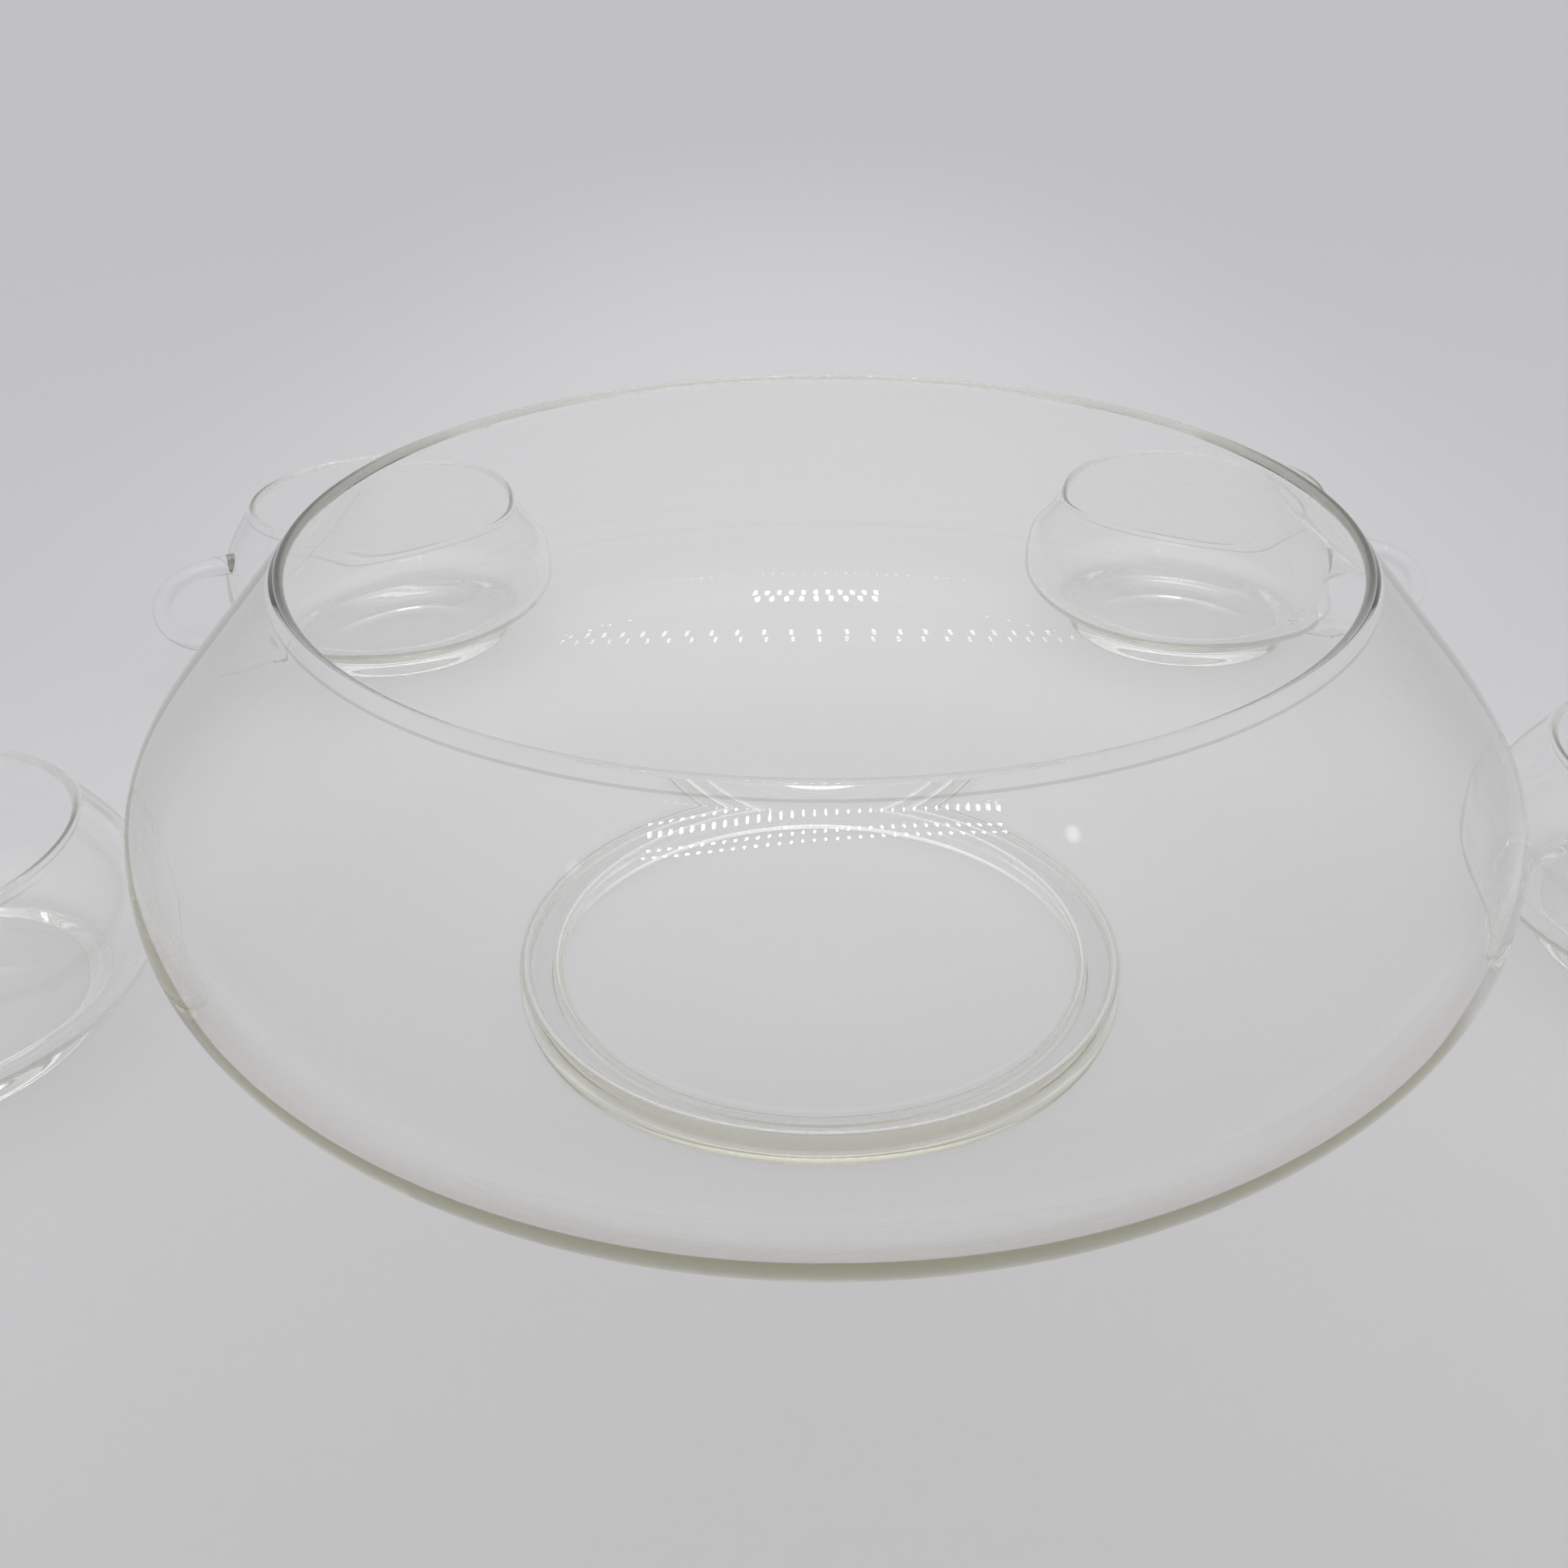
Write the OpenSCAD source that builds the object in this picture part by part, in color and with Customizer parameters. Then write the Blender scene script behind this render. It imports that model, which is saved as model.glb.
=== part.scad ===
// Glass serving set: one wide bowl with a drawn-in mouth, standing on a foot ring,
// and four small handled cups set round it on the table. Millimetres, +Z up.
// The origin is on the table, in the middle of the set; -Y is its front.

/* [Bowl] */
// Widest width of the bowl, at its girth
bowl_girth_d = 260; // [220:1:300]
// Height of the girth above the table
bowl_girth_h = 55.5; // [46:0.5:64]
// Width of the mouth, over the rounded lip
bowl_rim_d = 195.5; // [160:0.5:215]
// Height of the lip above the table
bowl_h = 104; // [90:0.5:125]
// Thickness of the glass
bowl_wall = 2; // [1.6:0.1:3.5]
// Height of the bowl's underside above the table, on its axis
bowl_lift = 4; // [3:0.5:7]
// Slope of the wall at the lip, from level
bowl_rim_angle = 49; // [40:1:60]

/* [Foot ring] */
// Width of the ring over its outer side, at the table
foot_d = 127; // [120:1:140]
// Width of the ring over its outer side, where it runs into the bowl
foot_top_d = 121; // [104:1:126]
// Width of the ring's band, from its inner to its outer side, where it runs into the bowl
foot_band = 3.5; // [3:0.5:8]
// Height at which the ring's outer side runs into the bowl
foot_h = 9.5; // [8:0.1:14]
// Radius on the ring's two lower edges
foot_edge_r = 1.6; // [0.8:0.1:1.9]

/* [Cups] */
// Widest width of a cup, at its girth
cup_girth_d = 97; // [84:1:110]
// Height of a cup's girth above the table
cup_girth_h = 20.4; // [16:0.2:25]
// Width of a cup's mouth, over the rounded lip
cup_rim_d = 76.5; // [62:0.5:82]
// Height of a cup's lip above the table
cup_h = 46.5; // [41:0.5:58]
// Thickness of a cup's wall
cup_wall = 2; // [1.5:0.1:3]
// Slope of a cup's wall at the lip, from level
cup_rim_angle = 58; // [48:1:66]
// Width of the thick base where it leaves the belly
base_top_d = 70; // [60:0.5:76]
// Width of the thick base at the table
base_d = 66.5; // [56:0.5:70]
// Height at which the base runs into the belly
base_h = 8; // [6.5:0.1:9.5]
// Height of a cup's floor, inside, on its axis
cup_floor_h = 6.5; // [5:0.1:8]
// Radius on the base's lower edge
base_edge_r = 1.8; // [0.8:0.1:3]
// Depth of the shallow hollow under a cup
base_hollow = 0.6; // [0.3:0.1:1.5]
// Width of the band that a cup stands on
base_band = 6; // [4:0.5:9]

/* [Handles] */
// Thickness of the handle's rod, in the plane of the loop
rod_t = 5; // [4:0.1:7]
// Width of the handle's rod, across the loop
rod_w = 6.6; // [5:0.1:9]
// Reach of the rod's centre line beyond a cup's girth
handle_reach = 19.2; // [15:0.2:26]
// Drop from a cup's lip to the rod's centre line at the upper joint
handle_drop = 13.8; // [9:0.2:16]
// Height above the table of the rod's centre line at the lower joint
handle_foot_h = 9; // [7:0.2:13]
// Extra thickness of the rod where it joins a cup, as a share of its own
joint_swell = 0.2; // [0:0.05:0.6]

/* [Layout on the table] */
// Gap, seen from above, between the bowl and the rear left cup
rear_left_gap = 41; // [3:0.5:80]
// Direction of the rear left cup from the bowl
rear_left_angle = 125.5; // [110:0.5:140]
// Direction of the rear left cup's handle
rear_left_handle_angle = 207; // [180:1:225]
// Gap, seen from above, between the bowl and the rear right cup
rear_right_gap = 36.5; // [3:0.5:80]
// Direction of the rear right cup from the bowl
rear_right_angle = 57; // [40:0.5:70]
// Direction of the rear right cup's handle
rear_right_handle_angle = -20; // [-40:5:0]
// Gap, seen from above, between the bowl and the front left cup
front_left_gap = 6.5; // [3:0.5:80]
// Direction of the front left cup from the bowl
front_left_angle = 185; // [175:0.5:200]
// Direction of the front left cup's handle
front_left_handle_angle = 200; // [150:5:240]
// Gap, seen from above, between the bowl and the front right cup
front_right_gap = 14.5; // [3:0.5:80]
// Direction of the front right cup from the bowl
front_right_angle = 2.5; // [-10:0.5:10]
// Direction of the front right cup's handle
front_right_handle_angle = -20; // [-60:5:30]

/* [Hidden] */
$fn = 96;

bowl_glass = [0.80, 0.88, 0.84];
cup_glass = [0.84, 0.86, 0.82];

// Steps along each curve of an outline, and round each lip
curve_steps = 14;
lip_steps = 8;
// Rings along a handle's rod, and sides round it
rod_rings = 26;
rod_sides = 16;
// How far the rod's ends reach past the inner side of a cup's wall before they are cut
rod_root = 1;
// Height of the blank that the foot ring is cut from, above where it meets the bowl
ring_blank = 4;

bowl_girth_r = bowl_girth_d / 2;
bowl_rim_r = bowl_rim_d / 2;
foot_r = foot_d / 2;
foot_top_r = foot_top_d / 2;
cup_girth_r = cup_girth_d / 2;
cup_rim_r = cup_rim_d / 2;

// Fullness of the curves: the pull of each end of a curve, as a share of its rise or run
bowl_bottom_pull = 0.45;
bowl_foot_angle = 11;
bowl_belly_pull = 0.56;
bowl_girth_pull_low = 0.42;
bowl_girth_pull_high = 0.31;
bowl_shoulder_pull = 0.67;
cup_belly_angle = 10;
cup_belly_pull = 0.55;
cup_girth_pull_low = 0.5;
cup_girth_pull_high = 0.5;
cup_shoulder_pull = 0.4;
cup_floor_pull = 0.4;

// A point on a cubic curve, and the curve's heading there
function along(c, t) =
    pow(1 - t, 3) * c[0] + 3 * t * pow(1 - t, 2) * c[1] + 3 * t * t * (1 - t) * c[2] + pow(t, 3) * c[3];
function heading(c, t) =
    pow(1 - t, 2) * (c[1] - c[0]) + 2 * t * (1 - t) * (c[2] - c[1]) + t * t * (c[3] - c[2]);
function unit(v) = v / norm(v);
function polar(length, angle) = length * [cos(angle), sin(angle)];

// Points on a run of curves, and the same points moved to the inner side of the glass
function shares() = [for (i = [0:curve_steps]) i / curve_steps];
function outer_points(curves) =
    [for (c = curves) for (t = shares()) if (t > 0 || c == curves[0]) along(c, t)];
function inner_point(c, t, wall) = let (h = unit(heading(c, t))) along(c, t) + wall * [-h.y, h.x];
function inner_points(curves, wall) =
    [for (c = curves) for (t = shares()) if (t > 0 || c == curves[0]) inner_point(c, t, wall)];
function reversed(list) = [for (i = [len(list) - 1:-1:0]) list[i]];

// The lip is a half circle over the end of the wall
function lip_centre(rim_r, top, wall) = [rim_r - wall / 2, top - wall / 2];
function lip_outer(rim_r, top, wall, slope) =
    lip_centre(rim_r, top, wall) + polar(wall / 2, 90 - slope);
function lip_points(rim_r, top, wall, slope) =
    let (centre = lip_centre(rim_r, top, wall), start = 90 - slope)
    [for (i = [1:lip_steps - 1]) centre + polar(wall / 2, start + 180 * i / lip_steps)];

// The curve from a girth up to the lip
function shoulder(girth_r, girth_h, rim_r, top, wall, slope, pull_low, pull_high) =
    let (end = lip_outer(rim_r, top, wall, slope), rise = end.y - girth_h)
    [
        [girth_r, girth_h],
        [girth_r, girth_h + pull_low * rise],
        end - polar(pull_high * rise / sin(slope), 180 - slope),
        end
    ];

// Bowl: underside, belly and shoulder
bowl_foot_point = [foot_top_r, foot_h];
bowl_underside = [
    [0, bowl_lift],
    [bowl_bottom_pull * foot_top_r, bowl_lift],
    bowl_foot_point - polar(bowl_bottom_pull * foot_top_r, bowl_foot_angle),
    bowl_foot_point
];
bowl_belly = [
    bowl_foot_point,
    bowl_foot_point + polar(bowl_belly_pull * (bowl_girth_r - foot_top_r), bowl_foot_angle),
    [bowl_girth_r, bowl_girth_h - bowl_girth_pull_low * (bowl_girth_h - foot_h)],
    [bowl_girth_r, bowl_girth_h]
];
bowl_shoulder = shoulder(bowl_girth_r, bowl_girth_h, bowl_rim_r, bowl_h, bowl_wall, bowl_rim_angle,
                         bowl_girth_pull_high, bowl_shoulder_pull);
bowl_curves = [bowl_underside, bowl_belly, bowl_shoulder];
bowl_outline = concat(
    outer_points(bowl_curves),
    lip_points(bowl_rim_r, bowl_h, bowl_wall, bowl_rim_angle),
    reversed(inner_points(bowl_curves, bowl_wall))
);

// Cup: belly and shoulder of the wall, floor inside, and the base below
cup_base_point = [base_top_d / 2, base_h];
cup_belly = [
    cup_base_point,
    cup_base_point + polar(cup_belly_pull * (cup_girth_r - cup_base_point.x), cup_belly_angle),
    [cup_girth_r, cup_girth_h - cup_girth_pull_low * (cup_girth_h - base_h)],
    [cup_girth_r, cup_girth_h]
];
cup_shoulder = shoulder(cup_girth_r, cup_girth_h, cup_rim_r, cup_h, cup_wall, cup_rim_angle,
                        cup_girth_pull_high, cup_shoulder_pull);
cup_curves = [cup_belly, cup_shoulder];
cup_floor_edge = inner_point(cup_belly, 0, cup_wall);
cup_floor = [
    [0, cup_floor_h],
    [cup_floor_pull * cup_floor_edge.x, cup_floor_h],
    cup_floor_edge - polar(cup_floor_pull * cup_floor_edge.x, cup_belly_angle),
    cup_floor_edge
];
base_edge_centre = [base_d / 2 - base_edge_r, base_edge_r];
base_side = unit(cup_base_point - [base_d / 2, base_edge_r]);
base_edge_sweep = atan2(base_side.y, base_side.x);
base_outline = concat(
    [
        [0, base_hollow],
        [base_d / 2 - base_edge_r - base_band - base_hollow, base_hollow],
        [base_d / 2 - base_edge_r - base_band, 0]
    ],
    [for (i = [0:lip_steps]) base_edge_centre + polar(base_edge_r, base_edge_sweep * i / lip_steps - 90)]
);
cup_outline = concat(
    base_outline,
    outer_points(cup_curves),
    lip_points(cup_rim_r, cup_h, cup_wall, cup_rim_angle),
    reversed(inner_points(cup_curves, cup_wall)),
    reversed([for (t = shares()) if (t < 1) along(cup_floor, t)])
);
// The cup as a solid lump, to cut a handle's ends to the outside of its wall
cup_lump = concat(
    base_outline,
    outer_points(cup_curves),
    [[0, lip_outer(cup_rim_r, cup_h, cup_wall, cup_rim_angle).y]]
);

// Radius of a cup's outside at a height
cup_side = [for (p = outer_points(cup_curves)) [p.y, p.x]];
function cup_r_at(h) = lookup(h, cup_side);

// Centre line of a handle: two curves that meet at its outermost point.
// Each arm runs out, bowed a little away from the other, before it turns down or up.
upper_arm_bow = 1.2;
lower_arm_bow = 3.2;
upper_arm_run = 0.75;
lower_arm_run = 0.7;
upper_arm_turn = 0.58;
lower_arm_turn = 0.66;
handle_top_h = cup_h - handle_drop;
handle_out_r = cup_girth_r + handle_reach;
handle_mid_h = (handle_top_h + handle_foot_h) / 2;
handle_half_h = (handle_top_h - handle_foot_h) / 2;
handle_top_r = cup_r_at(handle_top_h) - cup_wall - rod_root;
handle_foot_r = cup_r_at(handle_foot_h) - cup_wall - rod_root;
handle_upper = [
    [handle_top_r, handle_top_h],
    [handle_top_r + upper_arm_run * (handle_out_r - handle_top_r), handle_top_h + upper_arm_bow],
    [handle_out_r, handle_mid_h + upper_arm_turn * handle_half_h],
    [handle_out_r, handle_mid_h]
];
handle_lower = [
    [handle_out_r, handle_mid_h],
    [handle_out_r, handle_mid_h - lower_arm_turn * handle_half_h],
    [handle_foot_r + lower_arm_run * (handle_out_r - handle_foot_r), handle_foot_h - lower_arm_bow],
    [handle_foot_r, handle_foot_h]
];
function rod_at(s) = s < 0.5 ? along(handle_upper, 2 * s) : along(handle_lower, 2 * s - 1);
function rod_heading(s) = unit(s < 0.5 ? heading(handle_upper, 2 * s) : heading(handle_lower, 2 * s - 1));
function rod_swell(s) = 1 + joint_swell * pow(abs(2 * s - 1), 6);
function rod_ring(s) =
    let (c = rod_at(s), h = rod_heading(s), k = rod_swell(s))
    [
        for (j = [0:rod_sides - 1])
        let (a = 360 * j / rod_sides, u = k * rod_t / 2 * cos(a), v = k * rod_w / 2 * sin(a))
        [c.x + u * h.y, v, c.y - u * h.x]
    ];
rod_points = [for (i = [0:rod_rings]) each rod_ring(i / rod_rings)];
function next_side(j) = (j + 1) % rod_sides;
rod_faces = concat(
    [[for (j = [0:rod_sides - 1]) j]],
    [
        for (i = [0:rod_rings - 1])
        for (j = [0:rod_sides - 1])
        let (a = i * rod_sides, b = a + rod_sides)
        [a + j, b + j, b + next_side(j), a + next_side(j)]
    ],
    [[for (j = [rod_sides - 1:-1:0]) rod_rings * rod_sides + j]]
);

// The cups' places round the bowl's axis, and the middle of the whole set seen from above
rear_left = 0;
rear_right = 1;
front_left = 2;
front_right = 3;
all_cups = [rear_left, rear_right, front_left, front_right];
function beside_bowl(gap, at) =
    concat((bowl_girth_r + gap + cup_girth_r) * [cos(at), sin(at)], 0);
cup_places = [
    beside_bowl(rear_left_gap, rear_left_angle),
    beside_bowl(rear_right_gap, rear_right_angle),
    beside_bowl(front_left_gap, front_left_angle),
    beside_bowl(front_right_gap, front_right_angle)
];
handle_angles = [
    rear_left_handle_angle,
    rear_right_handle_angle,
    front_left_handle_angle,
    front_right_handle_angle
];
function turned(p, angle) = [p.x * cos(angle) - p.y * sin(angle), p.x * sin(angle) + p.y * cos(angle), 0];
corners = concat(
    [[-bowl_girth_r, -bowl_girth_r, 0], [bowl_girth_r, bowl_girth_r, 0]],
    [for (i = all_cups) for (k = [-1, 1]) cup_places[i] + k * [cup_girth_r, cup_girth_r, 0]],
    [for (i = all_cups) for (p = rod_points) cup_places[i] + turned(p, handle_angles[i])]
);
function middle_of(list) = (min(list) + max(list)) / 2;
middle = [middle_of([for (p = corners) p.x]), middle_of([for (p = corners) p.y]), 0];

module bowl_shell() {
    color(bowl_glass)
    translate(-middle)
    rotate_extrude()
    polygon(bowl_outline);
}

module bowl_foot_ring() {
    color(bowl_glass)
    translate(-middle)
    difference() {
        rotate_extrude()
        ring_section();
        rotate_extrude()
        polygon(concat(outer_points([bowl_underside, bowl_belly]), [[0, bowl_girth_h]]));
    }
}

// Band with a flared outer side and two rounded lower edges, left tall to be cut by the bowl's underside
function rounded(centre, radius, start, sweep) =
    [for (i = [0:lip_steps]) centre + polar(radius, start + sweep * i / lip_steps)];
module ring_section() {
    inner = foot_top_r - foot_band;
    top = foot_h + ring_blank;
    flare = bowl_foot_point - [foot_r, foot_edge_r];
    polygon(concat(
        rounded([inner + foot_edge_r, foot_edge_r], foot_edge_r, 180, 90),
        rounded([foot_r - foot_edge_r, foot_edge_r], foot_edge_r, 270, atan2(flare.y, flare.x)),
        [bowl_foot_point, [foot_top_r, top], [inner, top]]
    ));
}

module cup(i) {
    color(cup_glass)
    translate(cup_places[i] - middle)
    rotate_extrude()
    polygon(cup_outline);
}

module handle(i) {
    color(cup_glass)
    translate(cup_places[i] - middle)
    rotate([0, 0, handle_angles[i]])
    difference() {
        polyhedron(points = rod_points, faces = rod_faces, convexity = 4);
        rotate_extrude()
        polygon(cup_lump);
    }
}

module rear_left_cup() cup(rear_left);
module rear_left_handle() handle(rear_left);
module rear_right_cup() cup(rear_right);
module rear_right_handle() handle(rear_right);
module front_left_cup() cup(front_left);
module front_left_handle() handle(front_left);
module front_right_cup() cup(front_right);
module front_right_handle() handle(front_right);

bowl_shell();
bowl_foot_ring();
rear_left_cup();
rear_left_handle();
rear_right_cup();
rear_right_handle();
front_left_cup();
front_left_handle();
front_right_cup();
front_right_handle();
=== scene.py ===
import math

import bmesh
import bpy
from mathutils import Matrix, Vector


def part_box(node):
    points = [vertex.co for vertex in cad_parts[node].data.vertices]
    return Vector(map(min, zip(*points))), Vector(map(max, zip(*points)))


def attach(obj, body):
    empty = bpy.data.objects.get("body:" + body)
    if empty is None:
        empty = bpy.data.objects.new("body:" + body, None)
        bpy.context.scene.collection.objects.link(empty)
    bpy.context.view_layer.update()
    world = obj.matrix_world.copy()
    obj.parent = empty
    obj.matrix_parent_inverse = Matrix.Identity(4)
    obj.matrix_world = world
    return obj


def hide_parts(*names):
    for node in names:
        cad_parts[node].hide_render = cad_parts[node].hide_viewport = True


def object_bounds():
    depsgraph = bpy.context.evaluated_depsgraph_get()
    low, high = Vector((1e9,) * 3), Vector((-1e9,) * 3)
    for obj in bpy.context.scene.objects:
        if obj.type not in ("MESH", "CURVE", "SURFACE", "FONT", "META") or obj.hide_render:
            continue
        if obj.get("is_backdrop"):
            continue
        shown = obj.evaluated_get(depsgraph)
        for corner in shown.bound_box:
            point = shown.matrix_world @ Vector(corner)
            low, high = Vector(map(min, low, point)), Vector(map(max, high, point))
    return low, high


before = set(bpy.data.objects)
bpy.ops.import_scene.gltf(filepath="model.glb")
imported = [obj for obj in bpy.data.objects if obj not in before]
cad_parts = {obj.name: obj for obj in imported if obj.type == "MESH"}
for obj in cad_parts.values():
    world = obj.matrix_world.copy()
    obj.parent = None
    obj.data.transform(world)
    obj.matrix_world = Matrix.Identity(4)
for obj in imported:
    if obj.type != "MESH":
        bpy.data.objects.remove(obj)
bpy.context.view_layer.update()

# A clear glass serving set: one wide bowl on a foot ring and four handled cups. Metres, +Z up.
# The outlines repeat the glass maker's sizes, and every place comes from the frame.

MM = 0.001
CUPS = ("rear_left", "rear_right", "front_left", "front_right")

# Bowl; a pull says how far a curve's end keeps its heading, as a share of the curve's span
BOWL_LOW, BOWL_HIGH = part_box("bowl_shell")
RING_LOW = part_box("bowl_foot_ring")[0]
BOWL_MIDDLE = (BOWL_LOW + BOWL_HIGH) / 2
SKIN_PLAY = 0.02 * MM
BOWL_GIRTH_R = min(BOWL_HIGH.x - BOWL_LOW.x, BOWL_HIGH.y - BOWL_LOW.y) / 2 - SKIN_PLAY
BOWL_GIRTH_H = 55.5 * MM
BOWL_RIM_R = 97.75 * MM
BOWL_TOP = BOWL_HIGH.z - SKIN_PLAY
BOWL_LIFT = BOWL_LOW.z
BOWL_WALL = 2 * MM
BOWL_RIM_SLOPE = 49
BOWL_BELLY_SLOPE = 11
UNDERSIDE_PULL = 0.45
BOWL_BELLY_PULLS = (0.56, 0.42)
BOWL_SHOULDER_PULLS = (0.31, 0.67)
RING_TOP_R = 60.5 * MM
RING_FOOT_R = 63.5 * MM
RING_BAND = 3.5 * MM
RING_TOP = 9.5 * MM
RING_EDGE = 1.6 * MM
RING_INNER_FILLET = 2.2 * MM
RING_OUTER_FILLET = 3 * MM
RING_FLARE = 0.5 * MM
UNDERSIDE_SHORT = 0.3 * MM
RING_INNER_RISE = 0.2 * MM

# Cup, set out round its own axis, with its handle towards +X
CUP_GIRTH_R = 48.4 * MM
CUP_GIRTH_H = 20.4 * MM
CUP_RIM_R = 38.25 * MM
CUP_TOP = 46.48 * MM
CUP_WALL = 2 * MM
CUP_RIM_SLOPE = 58
CUP_BELLY_SLOPE = 10
CUP_BELLY_PULLS = (0.55, 0.5)
CUP_SHOULDER_PULLS = (0.5, 0.4)
FLOOR_PULL = 0.4
BASE_TOP_R = 35 * MM
BASE_R = 33.25 * MM
BASE_TOP = 8 * MM
FLOOR_H = 6.5 * MM
BASE_EDGE = 1.8 * MM
BASE_HOLLOW = 0.6 * MM
BASE_BAND = 6 * MM
HOLLOW_PULLS = (0.6, 0.7)
BASE_FILLET = 5 * MM

# Handle
ROD_T = 5 * MM
ROD_W = 6.6 * MM
HANDLE_OUT = 67.68 * MM
HANDLE_TOP = 32.7 * MM
HANDLE_FOOT = 9 * MM
UPPER_ARM_PULLS = (0.75, 0.58)
UPPER_ARM_RISE = 1.2 * MM
LOWER_ARM_PULLS = (0.66, 0.7)
LOWER_ARM_DROP = 3.2 * MM
ROD_SWELL = 0.2
ROD_IN_WALL = 1 * MM
HANDLE_TURN = {"rear_left": 207, "rear_right": -20, "front_left": 200, "front_right": -20}

CURVE_STEPS = 36
LIP_STEPS = 14
CORNER_STEPS = 6
CORNER_PULL = 0.56
ROD_SIDES = 32
ROD_STEPS = 72
BOWL_TURNS = 256
CUP_TURNS = 160


def polar(length, degrees):
    a = math.radians(degrees)
    return Vector((length * math.cos(a), length * math.sin(a)))


def along(c, t):
    """The point at share t of a curve from c[0] to c[3], pulled by c[1] and c[2]."""
    return ((1 - t) ** 3 * c[0] + 3 * t * (1 - t) ** 2 * c[1]
            + 3 * t * t * (1 - t) * c[2] + t ** 3 * c[3])


def heading(c, t):
    """Which way the curve runs at share t."""
    way = (1 - t) ** 2 * (c[1] - c[0]) + 2 * t * (1 - t) * (c[2] - c[1]) + t * t * (c[3] - c[2])
    return way.normalized()


def shares(steps):
    return [i / steps for i in range(steps + 1)]


def stops(curves):
    """The curve and share of every point along a run of curves, with no point twice."""
    return [(c, t) for c in curves for t in shares(CURVE_STEPS) if t > 0 or c is curves[0]]


def outer_side(curves):
    return [along(c, t) for c, t in stops(curves)]


def inner_side(curves, depth):
    """The same points, moved into the glass by depth."""
    points = []
    for c, t in stops(curves):
        h = heading(c, t)
        points.append(along(c, t) + depth * Vector((-h.y, h.x)))
    return points


def lip(rim_r, top, wall, slope):
    """The half circle over the end of a wall, from its outer side to its inner side."""
    centre = Vector((rim_r - wall / 2, top - wall / 2))
    return [centre + polar(wall / 2, 90 - slope + 180 * s) for s in shares(LIP_STEPS)]


def shoulder(girth_r, girth_h, rim_r, top, wall, slope, pulls):
    """The drawn-in curve from the girth up to the lip."""
    pull_low, pull_high = pulls
    end = lip(rim_r, top, wall, slope)[0]
    rise = end.y - girth_h
    return [Vector((girth_r, girth_h)),
            Vector((girth_r, girth_h + pull_low * rise)),
            end - polar(pull_high * rise / math.sin(math.radians(slope)), 180 - slope),
            end]


def trimmed(leg, length):
    """A leg with that length taken off its start."""
    points = list(leg)
    while length > 0 and len(points) > 1:
        step = (points[1] - points[0]).length
        if step > length:
            points[0] = points[0].lerp(points[1], length / step)
            break
        length -= step
        points.pop(0)
    return points


def joined(legs, radii):
    """Legs joined end to end, with each corner between them rounded to its radius."""
    path = list(legs[0])
    for leg, radius in zip(legs[1:], radii):
        corner = leg[0]
        before = (corner - path[-2]).normalized()
        after = (leg[1] - corner).normalized()
        reach = radius * math.tan(before.angle(after) / 2)
        path = trimmed(path[::-1], reach)[::-1]
        leg = trimmed(leg, reach)
        bend = [path[-1], path[-1].lerp(corner, CORNER_PULL),
                leg[0].lerp(corner, CORNER_PULL), leg[0]]
        path += [along(bend, t) for t in shares(CORNER_STEPS)[1:-1]] + leg
    return path


def to_object(name, bm):
    mesh = bpy.data.meshes.new(name)
    bm.to_mesh(mesh)
    bm.free()
    piece = bpy.data.objects.new(name, mesh)
    bpy.context.scene.collection.objects.link(piece)
    return piece


def turned_glass(name, outline, turns):
    """A glass piece turned from its outline round +Z."""
    bm = bmesh.new()
    points = [bm.verts.new((p.x, 0, p.y)) for p in outline]
    for a, b in zip(points, points[1:]):
        bm.edges.new((a, b))
    if outline[0].x > 0 or outline[-1].x > 0:
        bm.edges.new((points[-1], points[0]))
    bmesh.ops.spin(bm, geom=bm.verts[:] + bm.edges[:], cent=(0, 0, 0), axis=(0, 0, 1),
                   angle=math.tau, steps=turns, use_merge=True)
    bmesh.ops.remove_doubles(bm, verts=bm.verts[:], dist=1e-6)
    bmesh.ops.recalc_face_normals(bm, faces=bm.faces[:])
    return to_object(name, bm)


def cut_or_fused(piece, other, operation):
    """The piece with the other one cut out of it or fused on, as a plain mesh. The other goes."""
    work = piece.modifiers.new("work", "BOOLEAN")
    work.solver = "EXACT"
    work.operation = operation
    work.object = other
    bpy.context.view_layer.update()
    worked = piece.evaluated_get(bpy.context.evaluated_depsgraph_get())
    made = bpy.data.meshes.new_from_object(worked)
    piece.modifiers.clear()
    piece.data = made
    bpy.data.objects.remove(other)
    return piece


# ---- Bowl outline

foot_point = Vector((RING_TOP_R, RING_TOP))
underside = [Vector((0, BOWL_LIFT)),
             Vector((UNDERSIDE_PULL * RING_TOP_R, BOWL_LIFT)),
             foot_point - polar(UNDERSIDE_PULL * RING_TOP_R, BOWL_BELLY_SLOPE),
             foot_point]
belly = [foot_point,
         foot_point + polar(BOWL_BELLY_PULLS[0] * (BOWL_GIRTH_R - RING_TOP_R), BOWL_BELLY_SLOPE),
         Vector((BOWL_GIRTH_R, BOWL_GIRTH_H - BOWL_BELLY_PULLS[1] * (BOWL_GIRTH_H - RING_TOP))),
         Vector((BOWL_GIRTH_R, BOWL_GIRTH_H))]
bowl_shoulder = shoulder(BOWL_GIRTH_R, BOWL_GIRTH_H, BOWL_RIM_R, BOWL_TOP, BOWL_WALL,
                         BOWL_RIM_SLOPE, BOWL_SHOULDER_PULLS)
bowl_curves = [underside, belly, bowl_shoulder]
ring_inner_r = RING_TOP_R - RING_BAND
ring_inner_foot = Vector((ring_inner_r, RING_LOW.z))
ring_outer_foot = Vector((RING_FOOT_R + RING_FLARE, RING_LOW.z))
under_points = [p for p in outer_side([underside]) if p.x < ring_inner_r - UNDERSIDE_SHORT]
ring_inner_top = Vector((ring_inner_r, under_points[-1].y + RING_INNER_RISE))
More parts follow.
